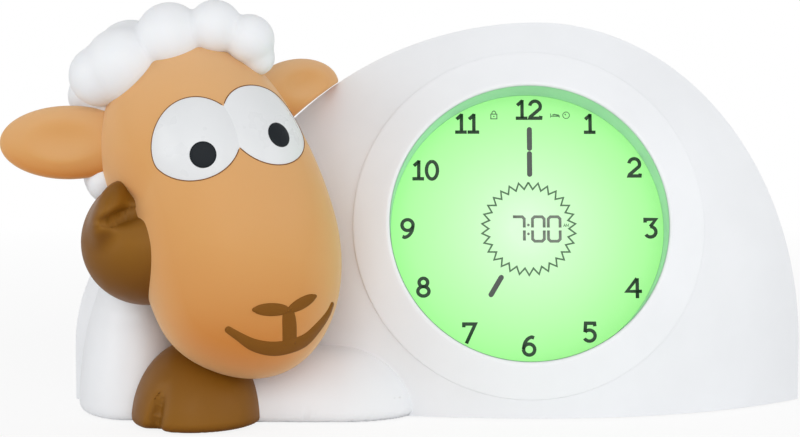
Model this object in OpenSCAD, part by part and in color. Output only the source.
// Children's alarm clock with night light: a sheep that lies beside a glowing dial.
// Millimetres. +X to the right, +Y to the back, +Z up. The origin is on the table, in the
// middle of the width, under the plane where the front and rear shells meet.

/* [Body] */
// Distance of the arch's top to the right of the origin
body_x = 38.5; // [34:0.5:42]
// Reach of the arch to the right of its top
arch_right = 84; // [80:1:92]
// Reach of the arch to the left of its top
arch_left = 108; // [102:1:114]
// Rise of the arch above the skirt
arch_rise = 102.5; // [98:0.5:112]
// Top of the straight skirt above the table
skirt_h = 17.5; // [15:0.5:22]
// How far the front bulges ahead of the parting plane
front_bulge = 35; // [32:0.5:38]
// Depth of the rear shell behind the parting plane
rear_depth = 25; // [24:0.5:28]
// Distance of the shoulder's middle to the left of the origin
shoulder_x = 58; // [56:0.5:61]
// Half width of the shoulder
shoulder_r = 50; // [48:0.5:54]
// Rise of the shoulder above the skirt
shoulder_rise = 52; // [49:0.5:58]
// How far the shoulder bulges ahead of the parting plane
shoulder_bulge = 23; // [20:0.5:25]
// Wall of both shells
wall = 2.4; // [1.8:0.1:2.8]

/* [Dial] */
// Distance of the dial to the right of the origin
dial_x = 35; // [32:0.5:38]
// Height of the middle of the dial's rim above the skirt, in percent of the arch's rise
dial_up = 40.49; // [39:0.01:43]
// Lean of the dial back from the vertical, in degrees
dial_tilt = 14; // [12:0.5:16]
// Radius of the visible dial, in percent of the arch's rise
dial_share = 41.66; // [38:0.01:43]
// Width of the ring round the dial
ring_w = 11.2; // [9:0.1:12]
// How far the ring stands proud of the shell
ring_proud = 0.6; // [0.3:0.1:1]
// Depth of the dial window behind the rim
recess = 13; // [11:0.5:14]
// Thickness of the display window
window_t = 2; // [1.5:0.1:2.5]
// Thickness of the liquid crystal panel
lcd_t = 2.4; // [2:0.1:2.8]
// Thickness of the diffuser plate
diffuser_t = 2; // [1.5:0.1:2.4]
// Depth of the light box
box_depth = 11; // [9:0.5:12]

/* [Head] */
// Distance of the head's middle to the left of the origin
head_x = 52.5; // [50:0.5:54]
// Distance of the head's middle ahead of the parting plane
head_y = 45; // [43:0.5:48]
// Height of the widest level of the head
head_z = 55.5; // [54:0.5:58]
// Half width of the head
head_w = 29.9; // [27.5:0.1:31]
// Half depth of the head
head_d = 27; // [25:0.5:29]
// Length of the head above its widest level
crown_h = 61; // [58:0.5:63]
// Length of the head below its widest level
chin_h = 41.5; // [39:0.5:43]
// Lean of the crown to the left, in degrees
head_roll = 16; // [12:1:20]
// Lean of the chin forwards, in degrees
head_pitch = 8; // [5:1:11]
// Turn of the face to the right, in degrees
head_yaw = 20; // [14:1:22]
// Wall of the face
face_wall = 2; // [1.6:0.1:2.6]
// Radius of a wool curl at the back of the head
curl_r = 10; // [9.4:0.1:10.6]
// Half width of the form that the left eye is cut from
eye_ball_r = 16.9; // [16:0.1:17.5]
// How far the left eye stands out of the head
eye_proud = 2.4; // [2:0.1:3]
// Radius of a pupil
pupil_r = 3.8; // [3:0.1:4.3]
// Half length of the left ear
ear_l = 21.3; // [19:0.1:22.5]
// Half height of the left ear
ear_h = 11.1; // [9.5:0.1:12]
// Half thickness of an ear
ear_t = 4.6; // [4:0.1:5.5]

/* [Forelegs] */
// Half width of the raised hoof
hoof_w = 19.4; // [18:0.1:20.5]
// Half height of the raised hoof
hoof_h = 21.2; // [20:0.1:22.5]
// Height of the lying foreleg
leg_h = 20.5; // [19:0.5:22]
// Half width of the lying hoof
paw_w = 19.6; // [18.5:0.1:20.5]
// Height of the lying hoof
paw_h = 24.5; // [23:0.5:26]

/* [Back] */
// Radius of a push button
button_r = 4.5; // [3.5:0.1:5]
// How far a button stands out of the back
button_proud = 1.4; // [1:0.1:2]
// Travel of a push button
button_travel = 0.8; // [0.5:0.1:1]
// Spacing of the buttons
button_pitch = 15; // [13:0.5:16]
// Travel of a slide switch
switch_travel = 4; // [3:0.5:5]
// Radius of the loudspeaker
speaker_r = 14; // [12:0.5:15]
// Diameter of an AAA cell
cell_d = 10.5; // [10:0.1:10.8]
// Length of an AAA cell
cell_l = 44.5; // [43.5:0.1:45]

/* [Small parts] */
// How far the rubber feet lift the shells
foot_h = 1; // [0.6:0.1:1.6]
// Radius of a rubber foot
foot_r = 5; // [4:0.5:6]
// Radius of a housing screw's shank
screw_r = 1.2; // [1:0.1:1.3]
// Thickness of the circuit boards
board_t = 1.6; // [1.2:0.1:1.8]
// Clearance between parts that are fitted together
fit = 0.15; // [0.1:0.05:0.2]

/* [Hidden] */
$fn = 96;
big = 400;      // larger than the whole object, for cutting
eps = 0.02;     // overlap of a cutting body

// The front's curve is an arc of this radius, seen from above.
front_r = (pow(arch_right, 2) + pow(front_bulge, 2)) / (2 * front_bulge);
shoulder_fr = (pow(shoulder_r, 2) + pow(shoulder_bulge, 2)) / (2 * shoulder_bulge);
rear_r = rear_depth / 0.45;  // the back's curve reaches the flat at 0.89 of the outline
inner_y = rear_depth - wall; // inside face of the back
base_h = 0.4 * foot_h;       // gap between the shells and the table

dial_z = skirt_h + arch_rise * dial_up / 100;
dial_r = arch_rise * dial_share / 100;

// Place of the main bulge's surface at a point of the front view.
function bulge_y(x, z) =
    let (side = x > body_x ? 1 : arch_right / arch_left,
         u = (x - body_x) * side,
         v = max(0, z - skirt_h) * arch_right / arch_rise)
    front_r - front_bulge - sqrt(max(0, pow(front_r, 2) - u * u - v * v));

rim_top_z = dial_z + dial_r * cos(dial_tilt);
rim_low_z = dial_z - dial_r * cos(dial_tilt);
dial_y = (bulge_y(dial_x, rim_top_z) + bulge_y(dial_x, rim_low_z)) / 2;
seam_r = dial_r + ring_w;
ledge = 2;                              // depth of the shell's ledge under the ring
ledge_w = 4;                            // width of that ledge
sleeve_t = 1.4;
collar_t = 1.8;                         // wall of the ring's inner collar
collar_r = dial_r + sleeve_t + fit + collar_t;
window_r = dial_r + sleeve_t;
frame_r = collar_r + fit + 1.8;
lcd_r = window_r - 0.4;
window_z = -recess;                     // places along the dial's axis, 0 at the rim
lcd_z = window_z - window_t;
diffuser_z = lcd_z - lcd_t;
box_z = diffuser_z - diffuser_t;
led_board_z = box_z - box_depth;
box_back_r = dial_r - 8;
led_r = box_back_r * 0.62;
led_count = 8;

// Housing screws: places in the back view, as [x, z].
boss_r = 4.2;
seat_y = 8;                             // depth of the screw heads' seat behind the parting plane
head_r = 2.6;
boss_points = [
    [body_x + 0.77 * arch_right, foot_h + wall + 8], [body_x + 0.62 * arch_right, skirt_h + 0.56 * arch_rise],
    [body_x - 0.54 * arch_left, skirt_h + 0.66 * arch_rise],
    [-shoulder_x - 0.7 * shoulder_r, foot_h + wall + 7], [-18, foot_h + wall + 5]
];

// Battery bay, behind a door in the back of the shoulder.
bay_wall = 1.6;
spring_l = 5;
contact_t = 0.6;
cell_pitch = cell_d + 0.6;
bay_w = cell_l + spring_l + 2 * contact_t + 1;
bay_h = 3 * cell_pitch + 1;
bay_x = -shoulder_x + 3;                // middle of the bay
bay_z = foot_h + wall + bay_h / 2 + 9;
door_t = 2;
cell_y = rear_depth - door_t - cell_d / 2 - 0.6;
bay_y = cell_y - cell_d / 2 - 0.4;      // floor of the bay
door_w = bay_w + 4;
door_h = bay_h + 8;
door_z = bay_z + 1;
tab_w = 8;
tab_h = 2;
door_low = door_z - door_h / 2;
door_screw_z = door_z + door_h / 2 - 3.4;

// Main board and what is pressed on it.
board_y = 13.5;
board_w = 76;
board_h = 46;
board_x = 31;
board_z = foot_h + wall + board_h / 2 + 3;
board_back = board_y + board_t;
chip_x = board_x + board_w / 2 - 14;
push_h = 3.4;
button_row_z = board_z + 12;
button_x = board_x - 2;
slider_z = board_z - 16;
slider_x = [button_x - button_pitch, button_x + button_pitch];
knob_w = 5;
knob_h = 3.2;
flange_t = 1.2;
flange_y = inner_y - fit - flange_t;
socket_x = board_x + board_w / 2 - 7.5;
socket_z = foot_h + wall + 8;
socket_w = 9;
socket_h = 10;
plug_r = 3.1;
speaker_x = body_x + 0.60 * arch_right;
speaker_z = skirt_h + 0.24 * arch_rise;
speaker_h = 6.5;
grille_y = inner_y;

// Places of the buttons, as [column, row], seen from the front.
button_spots = [[-1, 0], [0, 0], [1, 0], [-1, -1], [0, -1], [1, -1]];

// Head: frame, eyes and ears.
// Each eye as [azimuth, height, lean, turn, half sizes, how far it stands out].
eyes = [
    [-26.4, 29.7, -16, 0, [eye_ball_r, eye_ball_r - 0.2, eye_ball_r + 4.1], eye_proud],
    [44.6, 28.4, -19, -12, [eye_ball_r + 2.5, eye_ball_r - 1.6, eye_ball_r + 8.3], eye_proud - 1.55]
];
eye_back = 8.8;                         // flat back of the eyes, behind the head's surface
// Each ear as [side, reach, sweep, lift, height, half length, half height].
ears = [[-1, 41.9, 25, 18.9, 41.5, ear_l, ear_h], [1, 39.7, 29.5, 6.2, 42, ear_l - 2, ear_h - 1.9]];
skull = [28.5, 28, 34];                 // a second, rounder form at the back of the head
skull_at = [-3.2, 7, 27.5];
neck_r = 15;
neck_z = head_z - 4;

// Lying foreleg and hoof.
leg_x = -22.4;
leg_y = -23.5;
leg_end = 23.4;
leg_d = 19.5;
paw_x = -head_x - 12.9;
paw_y = -head_y + 7;
paw_d = 22.5;
raised_x = -head_x - 25.6;
raised_y = -head_y + 3.9;
raised_z = head_z + 0.4;
elbow = [20, 29, 50];                   // half sizes of the raised foreleg's elbow on the table

// ---------------------------------------------------------------- shapes used by several parts

// turn sets where its poles lie; they are on its upright axis when it is left out.
module ellipsoid(semi, turn = [0, 0, 0]) {
    scale(semi / 10) rotate(turn) sphere(r = 10);
}

module beyond(x, y, z) {
    // A block that keeps one side of each plane: 1 keeps more, -1 keeps less, 0 keeps both.
    translate([x < 0 ? -big : x > 0 ? 0 : -big / 2, y < 0 ? -big : y > 0 ? 0 : -big / 2,
               z < 0 ? -big : z > 0 ? 0 : -big / 2]) cube(big);
}

// One lobe of the body's front: two quarter ellipsoids over a straight skirt.
module front_lobe(x, left, right, rise, r, depth, grow, low, back) {
    for (side = [[-1, left / right], [1, 1]])
        intersection() {
            union() {
                intersection() {
                    translate([x, r - depth, skirt_h])
                        ellipsoid([side[1] * r + grow, r + grow, rise * r / right + grow]);
                    translate([0, 0, skirt_h]) beyond(0, 0, 1);
                }
                translate([x, r - depth, low])
                    scale([(side[1] * r + grow) / (r + grow), 1, 1])
                        cylinder(r = r + grow, h = skirt_h - low);
            }
            translate([x, back, 0]) beyond(side[0], -1, 0);
        }
}

module front_form(grow = 0, low = base_h, back = 0) {
    front_lobe(body_x, arch_left, arch_right, arch_rise, front_r, front_bulge, grow, low, back);
    front_lobe(-shoulder_x, shoulder_r, shoulder_r, shoulder_rise, shoulder_fr, shoulder_bulge,
        grow, low, back);
}

// One side of a lobe of the body's back, cut flat at the rear. Its poles lie on the depth axis, and
// the seams of its dome and its skirt point away from what is kept.
module rear_lobe(x, width, skirt, rise, seams, side, grow, low, front) {
    top = skirt + grow / 10;
    intersection() {
        union() {
            intersection() {
                translate([x, 0, top])
                    scale([width + grow, rear_r + grow, rise + grow] / 10)
                        rotate([90, 0, 0]) rotate([0, 0, seams[0]]) sphere(r = 10);
                translate([0, 0, top]) beyond(0, 0, 1);
            }
            translate([x, 0, low])
                scale([(width + grow) / 10, (rear_r + grow) / 10, 1])
                    rotate([0, 0, seams[1]]) cylinder(r = 10, h = top - low);
        }
        translate([x, front, 0]) beyond(side, 1, 0);
        translate([x, rear_depth + grow, 0]) beyond(0, -1, 0);
    }
}

module rear_arch(grow = 0, low = base_h, front = 0) {
    rear_lobe(body_x, arch_left, skirt_h, arch_rise, [-45, -60], -1, grow, low, front);
    rear_lobe(body_x, arch_right, skirt_h, arch_rise, [-135, -60], 1, grow, low, front);
}

// Its skirt ends a little lower, so that its level line isn't the arch's.
module rear_shoulder(grow = 0, low = base_h, front = 0) {
    drop = 1;
    for (side = [[-1, -60], [1, -120]])
        rear_lobe(-shoulder_x, shoulder_r, skirt_h - drop, shoulder_rise + drop, [side[1], -90],
            side[0], grow, low, front);
}

// The two lobes, each hollowed, and the wall between them opened.
module rear_wall() {
    low = foot_h + wall;
    difference() {
        union() {
            difference() {
                rear_arch();
                rear_arch(-wall, low, -1);
            }
            difference() {
                rear_shoulder();
                rear_shoulder(-wall, low, -1);
                rear_arch(-wall, low, -1);
            }
        }
        rear_shoulder(-wall, low, -1);
    }
}

// Children are drawn with +Z out of the dial and the origin in the middle of its rim.
module at_dial() {
    translate([dial_x, dial_y, dial_z]) rotate([90 - dial_tilt, 0, 0]) children();
}

module tube(r_out, r_in, h) {
    difference() {
        cylinder(r = r_out, h = h);
        translate([0, 0, -eps]) cylinder(r = r_in, h = h + 2 * eps);
    }
}

// A cylinder along Y, from y0 to y1.
module rod_y(x, z, y0, y1, r) {
    translate([x, y0, z]) rotate([-90, 0, 0]) cylinder(r = r, h = y1 - y0);
}

// A block given by its middle in X and Z and its two ends in Y.
module slab_y(x, z, y0, y1, w, h) {
    translate([x - w / 2, y0, z - h / 2]) cube([w, y1 - y0, h]);
}

// A pan-head screw along Y: its head's seat is at y, and it points to -Y.
module screw_y(x, z, y, l, r, head) {
    difference() {
        union() {
            rod_y(x, z, y - l, y + eps, r);
            rod_y(x, z, y, y + 0.7 * head, head);
        }
        for (turn = [0, 90])
            translate([x, y + 0.4 * head, z]) rotate([0, turn, 0])
                translate([-0.6 * head, 0, -0.13 * head]) cube([1.2 * head, head, 0.26 * head]);
    }
}

// The inverse of at_head: puts children drawn in the body's frame back where they are.
module from_head() {
    rotate([0, 0, -head_yaw]) rotate([head_pitch, 0, 0]) rotate([0, head_roll, 0])
        translate([head_x, head_y, -head_z]) children();
}

// Children are drawn in the head's own frame, face to -Y and crown to +Z.
module at_head() {
    translate([-head_x, -head_y, head_z])
        rotate([0, -head_roll, 0]) rotate([-head_pitch, 0, 0]) rotate([0, 0, head_yaw]) children();
}

module egg(grow = 0) {
    intersection() {
        ellipsoid([head_w + grow, head_d + grow, crown_h + grow], [0, 0, 180]);
        beyond(0, 0, 1);
    }
    intersection() {
        ellipsoid([head_w + grow, head_d + grow, chin_h + grow], [0, 0, 180]);
        beyond(0, 0, -1);
    }
}

// Point of the head's surface: azimuth from the face towards +X, and latitude, in degrees.
function egg_point(az, lat, grow = 0) = [
    (head_w + grow) * cos(lat) * sin(az), -(head_d + grow) * cos(lat) * cos(az),
    ((lat > 0 ? crown_h : chin_h) + grow) * sin(lat)
];

module skull_form(grow) {
    translate(skull_at) ellipsoid(skull + [grow, grow, grow], [0, 0, 180]);
}

module head_form(grow = 0) {
    egg(grow);
    difference() {
        skull_form(grow);
        // The hoof that props the cheek lies in a dent.
        from_head() raised_hoof_form(0.3 - grow);
    }
}

// Children are drawn on an eye, with +Y into the head and the origin on the head's surface.
module at_eye(eye) {
    translate(egg_point(eye[0], asin(eye[1] / crown_h)))
        rotate([eye[2], 0, 0]) rotate([0, 0, eye[0]]) rotate([0, eye[3], 0]) children();
}

module eye_ball(eye, grow) {
    translate([0, eye[4][1] - eye[5], 0]) ellipsoid(eye[4] + [grow, grow, grow], [90, 0, 180]);
}

module raised_hoof_form(grow) {
    translate([raised_x, raised_y, raised_z]) rotate([0, 64, 0]) rotate([0, 0, 13])
        ellipsoid([hoof_w + grow, hoof_w + 3.3 + grow, hoof_h + grow], [0, 0, 180]);
}

module lying_hoof_form(grow) {
    translate([paw_x, paw_y, base_h]) intersection() {
        ellipsoid([paw_w + grow, paw_d + grow, paw_h + grow]);
        beyond(0, 0, 1);
    }
}

// ---------------------------------------------------------------- housing

module front_shell() {
    color("whitesmoke") difference() {
        front_form();
        difference() {
            front_form(-wall, foot_h + wall, 1);
            for (p = boss_points) rod_y(p[0], p[1], -front_bulge, 1, boss_r);
            neck_boss(3.4, neck_seat_y);
        }
        at_dial() translate([0, 0, -recess - box_depth])
            cylinder(r = seam_r - ledge_w, h = recess + box_depth + ledge_w);
        dial_ledge();
        for (p = boss_points) rod_y(p[0], p[1], -front_bulge * 0.1, 1, screw_r + 0.05);
        neck_boss(screw_r + fit, 0);
        foot_pockets();
    }
}

module neck_boss(r, y1) {
    for (p = neck_points) rod_y(p[0], p[1], -front_bulge, y1, r);
}

// The sunken step of the front shell that the dial ring lies on.
module dial_ledge() {
    difference() {
        at_dial() translate([0, 0, -recess]) cylinder(r = seam_r + fit, h = 2 * recess);
        front_form(-ledge, -big / 4);
    }
}

module rear_shell() {
    color("whitesmoke") difference() {
        union() {
            rear_wall();
            for (p = boss_points) rod_y(p[0], p[1], 0, inner_y + 0.5, boss_r);
            slab_y(bay_x, bay_z, bay_y - bay_wall, inner_y + 1, bay_w + 2 * bay_wall, bay_h + 2 * bay_wall);
            rod_y(bay_x, door_screw_z, rear_depth - 8, inner_y + 1, 3.2);
            for (p = board_posts) rod_y(p[0], p[1], board_back, inner_y + 1, 2.6);
            rod_y(speaker_x, speaker_z, inner_y - 1.5, inner_y + 1, speaker_r + 1.8);
            for (side = [-1, 1])
                rod_y(speaker_x + side * (speaker_r + 3.2), speaker_z, inner_y - speaker_h + 1, inner_y + 1, 2.4);
        }
        for (p = boss_points) {
            rod_y(p[0], p[1], -1, rear_depth, screw_r + fit);
            rod_y(p[0], p[1], seat_y, rear_depth + 1, head_r + 0.5);
        }
        slab_y(bay_x, bay_z, bay_y, rear_depth + 1, bay_w, bay_h);
        door_seat();
        for (p = board_posts) rod_y(p[0], p[1], board_back - 1, board_back + 6, screw_r - 0.1);
        for (spot = button_spots)
            rod_y(button_x + spot[0] * button_pitch, button_row_z + spot[1] * button_pitch,
                inner_y - 1, rear_depth + 1, button_r + fit);
        for (x = slider_x)
            slab_y(x, slider_z, inner_y - 1, rear_depth + 1, knob_w + switch_travel + 0.6, knob_h + 0.5);
        rod_y(socket_x, socket_z, inner_y - 1, rear_depth + 1, plug_r + 1.4);
        rod_y(speaker_x, speaker_z, inner_y - 2, inner_y, speaker_r + 0.3);
        speaker_holes();
        for (side = [-1, 1])
            rod_y(speaker_x + side * (speaker_r + 3.2), speaker_z, inner_y - speaker_h, inner_y - 1,
                screw_r - 0.2);
        foot_pockets();
    }
}

module speaker_holes() {
    hole_r = 0.9;
    ring_step = 3.6;
    rod_y(speaker_x, speaker_z, inner_y - 1, rear_depth + 1, hole_r);
    for (ring = [1:3])
        for (i = [0:6 * ring - 1])
            rod_y(speaker_x + ring * ring_step * cos(60 * i / ring),
                speaker_z + ring * ring_step * sin(60 * i / ring), inner_y - 1, rear_depth + 1, hole_r);
}

// Recess for the battery door, with slots for its two tabs and the screw's hole.
module door_seat() {
    slab_y(bay_x, door_z, rear_depth - door_t - fit, rear_depth + 1, door_w + 2 * fit, door_h + 2 * fit);
    for (side = [-1, 1])
        slab_y(bay_x + side * bay_w / 4, door_low - 1.4, rear_depth - door_t - 3.2,
            rear_depth - door_t + fit, tab_w + 1.2, 2 * tab_h + 6);
    rod_y(bay_x, door_screw_z, rear_depth - 7.5, rear_depth, screw_r + 0.5);
}

foot_points = [
    [body_x + 0.62 * arch_right, -10], [-shoulder_x + 10, -12], [body_x + 0.62 * arch_right, 14],
    [-shoulder_x - 24, 14]
];

module foot_pockets() {
    for (p = foot_points)
        translate([p[0], p[1], base_h - eps]) cylinder(r = foot_r + fit, h = foot_h + 0.8 - base_h + eps);
}

module rubber_feet() {
    color("dimgray") for (p = foot_points)
        translate([p[0], p[1], 0]) cylinder(r = foot_r, h = foot_h + 0.8 - 0.05);
}

module housing_screws() {
    color("silver") for (p = boss_points)
        screw_y(p[0], p[1], seat_y + 0.05, seat_y + 3, screw_r, head_r);
}

// ---------------------------------------------------------------- dial and display

module dial_ring() {
    color("white") difference() {
        union() {
            intersection() {
                difference() {
                    front_form(ring_proud, -big / 4);
                    front_form(-ledge + 0.05, -big / 4);
                }
                at_dial() translate([0, 0, -2 * recess]) cylinder(r = seam_r, h = 4 * recess);
            }
            intersection() {
                front_form(ring_proud, -big / 4);
                at_dial() translate([0, 0, window_z + fit]) cylinder(r = collar_r, h = 2 * recess);
            }
        }
        at_dial() {
            translate([0, 0, -2 * recess]) cylinder(r = dial_r, h = 4 * recess);
            translate([0, 0, -2 * recess])
                cylinder(r = dial_r + sleeve_t + fit, h = 2 * recess - 4.5);
        }
    }
}

module light_sleeve() {
    color("honeydew") at_dial() translate([0, 0, window_z + fit])
        tube(dial_r + sleeve_t, dial_r + 0.2, recess - 4.5 - 2 * fit);
}

module display_window() {
    color("lightgreen", 0.5) at_dial() translate([0, 0, window_z - window_t + fit])
        cylinder(r = window_r, h = window_t - fit);
}

// Holds the window, the panel and the diffuser behind the ring's collar.
module display_frame() {
    color("white") at_dial() difference() {
        union() {
            translate([0, 0, box_z - 2]) cylinder(r = frame_r, h = window_z - box_z + 6);
            for (turn = frame_turns) rotate([0, 0, turn])
                translate([frame_r + 1.6, 0, box_z - 2]) cylinder(r = 2.6, h = 6);
        }
        translate([0, 0, box_z - 3]) cylinder(r = lcd_r - 2.4, h = 40);
        translate([0, 0, box_z - fit]) cylinder(r = window_r + fit, h = window_z - box_z + 2 * fit);
        translate([0, 0, window_z]) cylinder(r = collar_r + fit, h = 10);
        translate([-15.5, -frame_r - 1, diffuser_z]) cube([31, frame_r - lcd_r + 4, lcd_t]);
        for (turn = frame_turns) rotate([0, 0, turn])
            translate([frame_r + 1.6, 0, box_z - 3]) cylinder(r = screw_r - 0.1, h = 20);
    }
}

frame_turns = [40, 140, 220, 320];

module lcd_panel() {
    color("palegreen") at_dial() translate([0, 0, diffuser_z + fit])
        cylinder(r = lcd_r, h = lcd_t - fit);
}

module diffuser_plate() {
    color("white") at_dial() translate([0, 0, box_z + fit])
        cylinder(r = lcd_r, h = diffuser_t - fit);
}

// A white cup behind the diffuser that spreads the lamps' light.
module light_box() {
    rim = lcd_r - 3;
    color("white") at_dial() difference() {
        union() {
            translate([0, 0, led_board_z]) cylinder(r1 = box_back_r + 1.6, r2 = rim, h = box_depth - fit);
            for (turn = frame_turns) rotate([0, 0, turn]) hull() {
                translate([box_back_r, 0, box_z - 4]) cylinder(r = 2.6, h = 1.8, $fn = 32);
                translate([frame_r + 1.6, 0, box_z - 4]) cylinder(r = 2.6, h = 1.8, $fn = 32);
            }
        }
        translate([0, 0, led_board_z + 1.6]) cylinder(r1 = box_back_r, r2 = rim - 1.6, h = box_depth);
        for (i = [0:led_count - 1]) rotate([0, 0, i * 360 / led_count])
            translate([led_r, 0, led_board_z - 1]) cylinder(r = 3.8, h = 4);
        for (turn = frame_turns) rotate([0, 0, turn])
            translate([frame_r + 1.6, 0, box_z - 6]) cylinder(r = screw_r + fit, h = 6);
    }
}

module led_board() {
    color("seagreen") at_dial() translate([0, 0, led_board_z - board_t - 0.05])
        cylinder(r = box_back_r, h = board_t);
}

module leds() {
    color("lemonchiffon") at_dial() for (i = [0:led_count - 1]) rotate([0, 0, i * 360 / led_count])
        translate([led_r, 0, led_board_z]) {
            translate([-2.5, -2.5, -0.05]) cube([5, 5, 1]);
            translate([0, 0, 0.9]) cylinder(r1 = 2, r2 = 1.4, h = 0.9);
        }
}

module display_screws() {
    color("silver") at_dial() for (turn = frame_turns) rotate([0, 0, turn])
        translate([frame_r + 1.6, 0, box_z - 4.1]) rotate([180, 0, 0]) {
            cylinder(r = 2.2, h = 1.4);
            translate([0, 0, -6]) cylinder(r = screw_r - 0.15, h = 6.1);
        }
}

// The flat cable from the panel's lower edge, under the frame and back to the main board.
module lcd_ribbon() {
    mid = diffuser_z + lcd_t / 2;
    r = frame_r + 0.9;
    back = box_z - 3;
    low_y = dial_y - back * cos(dial_tilt) - r * sin(dial_tilt);
    low_z = dial_z + back * sin(dial_tilt) - r * cos(dial_tilt);
    color("orange") {
        at_dial() {
            translate([-15, -r, mid]) cube([30, r - lcd_r + 0.02, 0.4]);
            translate([-15, -r, back]) cube([30, 0.4, mid - back + 0.4]);
        }
        translate([dial_x - 14.9, low_y - 0.5, low_z + 0.05]) cube([29.8, board_y - low_y + 0.2, 0.4]);
        translate([dial_x - 14.8, board_y - 0.6, low_z + 0.15]) cube([29.6, 0.4, 5]);
    }
}

// ---------------------------------------------------------------- electronics

board_posts = [
    [board_x - board_w / 2 + 4, board_z + board_h / 2 - 4], [board_x + board_w / 2 - 4, board_z + board_h / 2 - 4],
    [board_x - board_w / 2 + 4, board_z - board_h / 2 + 4],
    [board_x + board_w / 2 - 4, socket_z + socket_h / 2 + 4]
];

module main_board() {
    color("seagreen") difference() {
        slab_y(board_x, board_z, board_y, board_back - 0.05, board_w, board_h);
        for (p = board_posts) rod_y(p[0], p[1], board_y - 1, board_back + 1, screw_r + 0.3);
    }
}

module controller_chips() {
    color("#202020") {
        slab_y(chip_x, board_z + 8, board_y - 1.8, board_y, 12, 12);
        slab_y(chip_x, board_z - 8, board_y - 1.6, board_y, 6, 5);
        for (i = [0:3]) slab_y(chip_x - 10 - 4 * i, board_z + 19, board_y - 1, board_y, 1.6, 3);
    }
    color("goldenrod") rod_y(chip_x - 10, board_z - 10, board_y - 7, board_y, 3);
}

module push_switches() {
    color("#303030") for (spot = button_spots) {
        x = button_x + spot[0] * button_pitch;
        z = button_row_z + spot[1] * button_pitch;
        slab_y(x, z, board_back, board_back + push_h - 1, 6, 6);
        rod_y(x, z, board_back + push_h - 1 - eps, board_back + push_h, 1.7);
    }
}

module slide_switches() {
    color("silver") for (x = slider_x)
        slab_y(x, slider_z, board_back, board_back + 3.4, knob_w + switch_travel + 4, 6);
}

module board_screws() {
    color("silver") for (p = board_posts) {
        rod_y(p[0], p[1], board_y - 1.3, board_y, 2.2);
        rod_y(p[0], p[1], board_y - eps, board_back + 4, screw_r - 0.15);
    }
}

module power_socket() {
    color("#282828") difference() {
        slab_y(socket_x, socket_z, board_back, inner_y - 0.2, socket_w, socket_h);
        rod_y(socket_x, socket_z, board_back + 1.4, rear_depth, plug_r);
    }
    color("gold") rod_y(socket_x, socket_z, board_back + 1.3, inner_y - 1, 1);
}

module speaker() {
    color("#404040") {
        rod_y(speaker_x, speaker_z, inner_y - 1.4, inner_y - 0.05, speaker_r);
        translate([speaker_x, inner_y - 4, speaker_z]) rotate([-90, 0, 0])
            cylinder(r1 = speaker_r * 0.5, r2 = speaker_r * 0.92, h = 2.7);
        rod_y(speaker_x, speaker_z, inner_y - speaker_h, inner_y - 3.9, speaker_r * 0.6);
    }
}

module speaker_clamp() {
    ear_y = inner_y - speaker_h + 1 - 0.05;
    color("silver") {
        difference() {
            union() {
                slab_y(speaker_x, speaker_z, ear_y - 1, ear_y, 2 * speaker_r + 11, 5);
                rod_y(speaker_x, speaker_z, ear_y - 1, ear_y, speaker_r * 0.6 + 2.5);
            }
            rod_y(speaker_x, speaker_z, ear_y - 2, ear_y + 1, speaker_r * 0.6 + fit);
        }
        for (side = [-1, 1]) {
            x = speaker_x + side * (speaker_r + 3.2);
            rod_y(x, speaker_z, ear_y - 2.2, ear_y - 1, 2);
            rod_y(x, speaker_z, ear_y - 1.1, ear_y + 3.2, screw_r - 0.25);
        }
    }
}

// A two-core lead: a tube with square-cut ends that follows the points of its route.
module lead(route, r) {
    sides = 8;
    count = len(route);
    function along(i) = route[min(i + 1, count - 1)] - route[max(i - 1, 0)];
    function unit(v) = v / norm(v);
    function ring(i) =
        let (t = unit(along(i)), a = unit(cross(t, [0.02, 0.3, 1])), b = cross(t, a))
        [for (k = [0:sides - 1]) route[i] + r * (a * cos(360 * k / sides) + b * sin(360 * k / sides))];
    polyhedron(
        points = [for (i = [0:count - 1]) each ring(i)],
        faces = concat(
            [[for (k = [0:sides - 1]) k]],
            [for (i = [0:count - 2]) for (k = [0:sides - 1])
                let (a = i * sides + k, b = i * sides + (k + 1) % sides) [a, a + sides, b + sides, b]],
            [[for (k = [sides - 1:-1:0]) (count - 1) * sides + k]]
        )
    );
}

// Corner rounding for a lead: points of a Bezier arc from a to c round b.
function bend(a, b, c, n = 6) = [for (i = [0:n]) let (t = i / n)
    (1 - t) * (1 - t) * a + 2 * t * (1 - t) * b + t * t * c];

module speaker_lead() {
    start = [speaker_x - speaker_r * 0.3, inner_y - speaker_h - 0.75, speaker_z - 3];
    plug = [board_x + board_w / 2 - 3, board_y - 0.75, board_z + 4];
    color("crimson") lead(concat([start + [4, 0, 0]], bend(start, [start[0] - 8, start[1] - 6, plug[2] + 3], plug),
        [plug - [3, 0, 0]]), 0.7);
}

module battery_lead() {
    start = [bay_x + bay_w / 2 - 4, bay_y - bay_wall - 0.75, bay_z + 8];
    plug = [board_x - board_w / 2 + 6, board_y - 0.75, board_z + 6];
    color("crimson") lead(concat([start - [4, 0, 0]], bend(start, [(start[0] + plug[0]) / 2, board_y - 9, bay_z + 10],
        plug), [plug + [3, 0, 0]]), 0.7);
}

// ---------------------------------------------------------------- buttons and sliders

// A round cap, a flange that stops it behind the wall, and a stem towards its switch.
module push_button(index, tint) {
    spot = button_spots[index];
    x = button_x + spot[0] * button_pitch;
    z = button_row_z + spot[1] * button_pitch;
    color(tint) {
        rod_y(x, z, flange_y, rear_depth + button_proud - 0.5, button_r);
        translate([x, rear_depth + button_proud - 0.5, z]) rotate([-90, 0, 0])
            cylinder(r1 = button_r, r2 = button_r - 0.5, h = 0.5);
        rod_y(x, z, flange_y, flange_y + flange_t, button_r + 1);
        rod_y(x, z, board_back + push_h + button_travel + 0.1, flange_y + eps, 2);
    }
}

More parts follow.
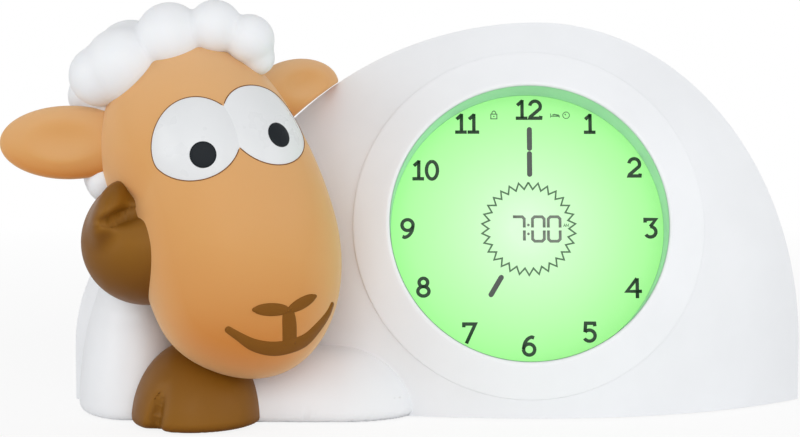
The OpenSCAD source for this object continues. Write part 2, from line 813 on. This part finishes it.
module set_button() { push_button(0, "gainsboro"); }
module up_button() { push_button(1, "gainsboro"); }
module down_button() { push_button(2, "gainsboro"); }
module alarm_button() { push_button(3, "gainsboro"); }
module nap_button() { push_button(4, "gainsboro"); }
module light_button() { push_button(5, "gainsboro"); }

module slider_knob(x) {
    color("darkgray") {
        slab_y(x, slider_z, flange_y, rear_depth + 1.2, knob_w, knob_h);
        for (i = [-1:1]) slab_y(x + 1.4 * i, slider_z, rear_depth + 1.1, rear_depth + 1.6, 0.6, knob_h);
        slab_y(x, slider_z, flange_y, flange_y + flange_t, knob_w + switch_travel + 2.6, knob_h + 2.4);
        slab_y(x, slider_z, board_back + 3.6, flange_y + eps, 2, 2);
    }
}

module alarm_slider() { slider_knob(slider_x[0] - switch_travel / 2); }
module lock_slider() { slider_knob(slider_x[1] - switch_travel / 2); }

// ---------------------------------------------------------------- battery bay

function cell_z(i) = bay_z + (i - 1) * cell_pitch;

module battery_cells() {
    for (i = [0:2]) {
        flip = i % 2 == 0 ? 1 : -1;
        x0 = bay_x - flip * (bay_w / 2 - contact_t - spring_l - 0.1);
        translate([x0, cell_y, cell_z(i)]) rotate([0, 90 * flip, 0]) {
            color("seagreen") cylinder(r = cell_d / 2, h = cell_l - 1);
            color("silver") translate([0, 0, cell_l - 1 - eps]) cylinder(r = 1.9, h = 1);
        }
    }
}

// A coil spring behind each cell, swept along its helix.
module coil(turns, r, wire, l) {
    steps = 12 * turns;
    lead([for (i = [0:steps])
        [r * (1 - 0.35 * i / steps) * cos(30 * i), r * (1 - 0.35 * i / steps) * sin(30 * i), l * i / steps]], wire);
}

module battery_springs() {
    color("silver") for (i = [0:2]) {
        flip = i % 2 == 0 ? 1 : -1;
        translate([bay_x - flip * (bay_w / 2 - contact_t - 0.5), cell_y, cell_z(i)])
            rotate([0, 90 * flip, 0]) coil(3, 3.4, 0.4, spring_l - 1.0);
    }
}

module battery_contacts() {
    color("silver") for (i = [0:2]) for (side = [-1, 1])
        slab_y(bay_x + side * (bay_w - contact_t) / 2, cell_z(i), bay_y + 0.1, bay_y + cell_d - 0.5,
            contact_t - 0.05, cell_d - 2);
}

module battery_door() {
    color("whitesmoke") difference() {
        union() {
            slab_y(bay_x, door_z, rear_depth - door_t, rear_depth, door_w, door_h);
            for (side = [-1, 1])
                slab_y(bay_x + side * bay_w / 4, door_low - tab_h / 2 + 0.5, rear_depth - door_t - 1.4,
                    rear_depth - door_t + eps, tab_w, tab_h + 1);
        }
        rod_y(bay_x, door_screw_z, rear_depth - door_t - 1, rear_depth + 1, screw_r + fit);
        rod_y(bay_x, door_screw_z, rear_depth - 1, rear_depth + 1, 2.5);
        for (i = [-2:2]) slab_y(bay_x + 2.4 * i, door_z - door_h / 2 + 6, rear_depth - 0.5, rear_depth + 1, 1.1, 7);
    }
}

module door_screw() {
    color("silver") screw_y(bay_x, door_screw_z, rear_depth - 0.95, 4.6, screw_r, 2.2);
}

// ---------------------------------------------------------------- sheep's head

// The hollow head, with two bosses inside its back for the neck screws.
module head_shell() {
    color("sandybrown") at_head() difference() {
        head_form();
        difference() {
            head_form(-face_wall);
            from_head() for (p = neck_points) rod_y(p[0], p[1], neck_tip_y - 2, 0, 3.4);
        }
        for (eye = eyes) at_eye(eye) eye_ball(eye, 0.2);
        from_head() for (p = neck_points) rod_y(p[0], p[1], neck_tip_y - 1, 0, screw_r - 0.1);
    }
}

// Both eyes are one moulding, pushed into the head from behind and cut flat at the back.
module eye_insert() {
    color("white") at_head() difference() {
        union() for (eye = eyes) at_eye(eye) intersection() {
            eye_ball(eye, 0);
            translate([0, eye_back, 0]) beyond(0, -1, 0);
        }
        for (i = [0, 1]) pupil_hole(i, 0.05);
    }
}

// Each pupil's place in the head's frame, and the azimuth and latitude that it faces.
pupil_at = [[[-9.3, -25.4, 23.7], -14.5, 0], [[14.6, -22.2, 24.5], 10.4, 2]];

module pupil_hole(i, grow) {
    translate(pupil_at[i][0]) rotate([-pupil_at[i][2], 0, pupil_at[i][1]]) translate([0, -4, 0])
        rotate([-90, 0, 0]) cylinder(r = pupil_r + grow, h = 7.5);
}

module pupil(i) {
    color("#202428") at_head() intersection() {
        at_eye(eyes[i]) eye_ball(eyes[i], 0.25);
        pupil_hole(i, 0);
    }
}

module left_pupil() { pupil(0); }
module right_pupil() { pupil(1); }

// Nose and mouth: a thin inlay, drawn flat and laid on the head's surface.
module muzzle_inlay() {
    mid = 2.8;
    nose = -22.6;
    mouth = -34.6;
    mouth_r = 20.4;
    color("saddlebrown") at_head() intersection() {
        difference() {
            egg(0.35);
            egg(0.05);
        }
        rotate([90, 0, 0]) linear_extrude(height = 60) {
            for (side = [-1, 1])
                translate([mid + side * 5.2, nose]) rotate(side * 12) scale([1, 0.34]) circle(r = 5.4);
            translate([mid, nose - 6]) scale([0.27, 1]) circle(r = 6.4);
            difference() {
                translate([mid, mouth + mouth_r]) circle(r = mouth_r);
                translate([mid, mouth + 3 + mouth_r + 1.6]) circle(r = mouth_r + 1.6);
            }
        }
    }
}

// Wool: the brow's curls as [x, y, z, radius] in the head's frame, then rows round the back of the
// skull as [height, half of the angle they span, count].
brow_curls = [
    [-26.5, 5.5, 57.5, 9.0], [-18.9, 1.4, 58.4, 11.2], [-14.5, 6.5, 61.5, 10.6], [-4.2, -4.2, 62.6, 10.0],
    [8.5, -9.1, 61.5, 8.0], [17.0, -10.9, 55.4, 7.4],
    [2, 9, 59, 11], [12, 6, 52, 10.5], [-12, 17, 53, 11.5], [4, 20, 50, 11]
];
side_curls = [[-29.5, 13.5, 27.5, 6.6], [18.5, -8.5, 50, 5.2], [-27.5, 19.5, 54.5, 7.4]];
back_rows = [[47, 60, 6], [30, 56, 6], [13, 55, 5]];

module wool_cap() {
    color("white") at_head() difference() {
        union() {
            for (c = concat(brow_curls, side_curls)) translate([c[0], c[1], c[2]]) sphere(r = c[3]);
            for (c = brow_curls) if (c[2] > 50) translate([c[0] * 0.8, c[1] + 13, c[2] - 2]) sphere(r = c[3] + 1.5);
            for (row = back_rows) for (i = [0:row[2] - 1]) {
                az = 180 + row[1] * (2 * i / (row[2] - 1) - 1);
                k = sqrt(1 - pow((row[0] - skull_at[2]) / skull[2], 2));
                translate([skull_at[0] + (skull[0] - 2) * k * sin(az), skull_at[1] - (skull[1] - 2) * k * cos(az), row[0]])
                    sphere(r = curl_r);
            }
            translate(skull_at + [0, 20, -2]) sphere(r = 14);
        }
        egg(0.1);
        skull_form(0.1);
        for (e = ears) ear_form(e, 0.15);
        from_head() {
            raised_hoof_form(0.3);
            raised_leg_form(0.3);
            front_lobe(-shoulder_x, shoulder_r, shoulder_r, shoulder_rise, shoulder_fr, shoulder_bulge,
                0.3, foot_h, 0);
        }
        from_head() rod_y(-head_x, neck_z, -head_y, 0, neck_r + fit);
    }
}

module ear_form(e, grow) {
    translate([e[0] * e[1] * cos(e[2]), e[1] * sin(e[2]) - 4, e[4]])
        rotate([0, -e[0] * e[3], 0]) rotate([0, 0, e[0] * e[2]])
            ellipsoid([e[5] + grow, ear_t + grow, e[6] + grow], [0, 90, 0]);
}

// The right ear is cut away where the arch rises in front of it.
module ear(e) {
    color("sandybrown") at_head() difference() {
        ear_form(e, 0);
        egg(0.1);
        skull_form(0.1);
        if (e[0] > 0) from_head() translate([body_x, -25, skirt_h]) rotate([-90, 0, 0])
            scale([(arch_left + 0.2) / 10, (arch_rise + 0.2) / 10, 1]) cylinder(r = 10, h = 60);
    }
}

module left_ear() { ear(ears[0]); }
module right_ear() { ear(ears[1]); }

// The collar carries the head on the shoulder. Two screws from inside the body hold it.
neck_points = [[-head_x - 7, neck_z], [-head_x + 7, neck_z]];
neck_seat_y = -8;                       // seat of the neck screws' heads, inside the body
neck_tip_y = -27;                       // how far forward their tips reach

module neck_collar() {
    $fn = 180;
    color("white") difference() {
        rod_y(-head_x, neck_z, -head_y + head_d - 10, 0, neck_r);
        front_form(0.1);
        at_head() egg(0.1);
        at_head() skull_form(0.1);
        for (p = neck_points) rod_y(p[0], p[1], -head_y, 0, screw_r + fit);
    }
}

module neck_screws() {
    color("silver") for (p = neck_points) {
        rod_y(p[0], p[1], neck_tip_y, neck_seat_y + 0.1, screw_r - 0.15);
        rod_y(p[0], p[1], neck_seat_y + 0.05, neck_seat_y + 1.6, 2.2);
    }
}

// ---------------------------------------------------------------- forelegs

module raised_leg_form(grow) {
    translate([-shoulder_x - 27, -24, 43]) rotate([-22, 0, 0])
        ellipsoid([11 + grow, 22 + grow, 12.5 + grow], [90, 0, 180]);
}

module raised_foreleg() {
    color("white") difference() {
        union() {
            raised_leg_form(0);
            translate([-shoulder_x - 26.5, -12, base_h]) intersection() {
                ellipsoid(elbow);
                beyond(0, 0, 1);
                translate([0, 12, 0]) beyond(0, -1, 0);
            }
        }
        front_form(0.1);
        lying_hoof_form(0.15);
        raised_hoof_form(0.15);
        at_head() egg(0.3);
        at_head() skull_form(0.3);
    }
}

module raised_hoof() {
    color("saddlebrown") difference() {
        raised_hoof_form(0);
        at_head() egg(0.3);
    }
}

module lying_foreleg() {
    color("white") difference() {
        intersection() {
            translate([leg_x, leg_y, base_h]) {
                ellipsoid([leg_end, leg_d, leg_h]);
                rotate([0, -90, 0]) scale([leg_h / 10, leg_d / 10, 1]) cylinder(r = 10, h = 40);
            }
            translate([0, 0, base_h]) beyond(0, 0, 1);
        }
        front_form(0.1);
        lying_hoof_form(0.15);
        at_head() egg(0.3);
    }
}

module lying_hoof() {
    color("saddlebrown") difference() {
        lying_hoof_form(0);
        front_form(0.1);
        at_head() egg(0.3);
    }
}

// ---------------------------------------------------------------- parts

front_shell();
rear_shell();
dial_ring();
light_sleeve();
display_window();
display_frame();
lcd_panel();
diffuser_plate();
light_box();
led_board();
leds();
display_screws();
lcd_ribbon();
main_board();
controller_chips();
push_switches();
slide_switches();
board_screws();
power_socket();
speaker();
speaker_clamp();
speaker_lead();
set_button();
up_button();
down_button();
alarm_button();
nap_button();
light_button();
alarm_slider();
lock_slider();
battery_cells();
battery_springs();
battery_contacts();
battery_lead();
battery_door();
door_screw();
housing_screws();
rubber_feet();
head_shell();
wool_cap();
eye_insert();
left_pupil();
right_pupil();
muzzle_inlay();
left_ear();
right_ear();
neck_collar();
neck_screws();
raised_foreleg();
raised_hoof();
lying_foreleg();
lying_hoof();
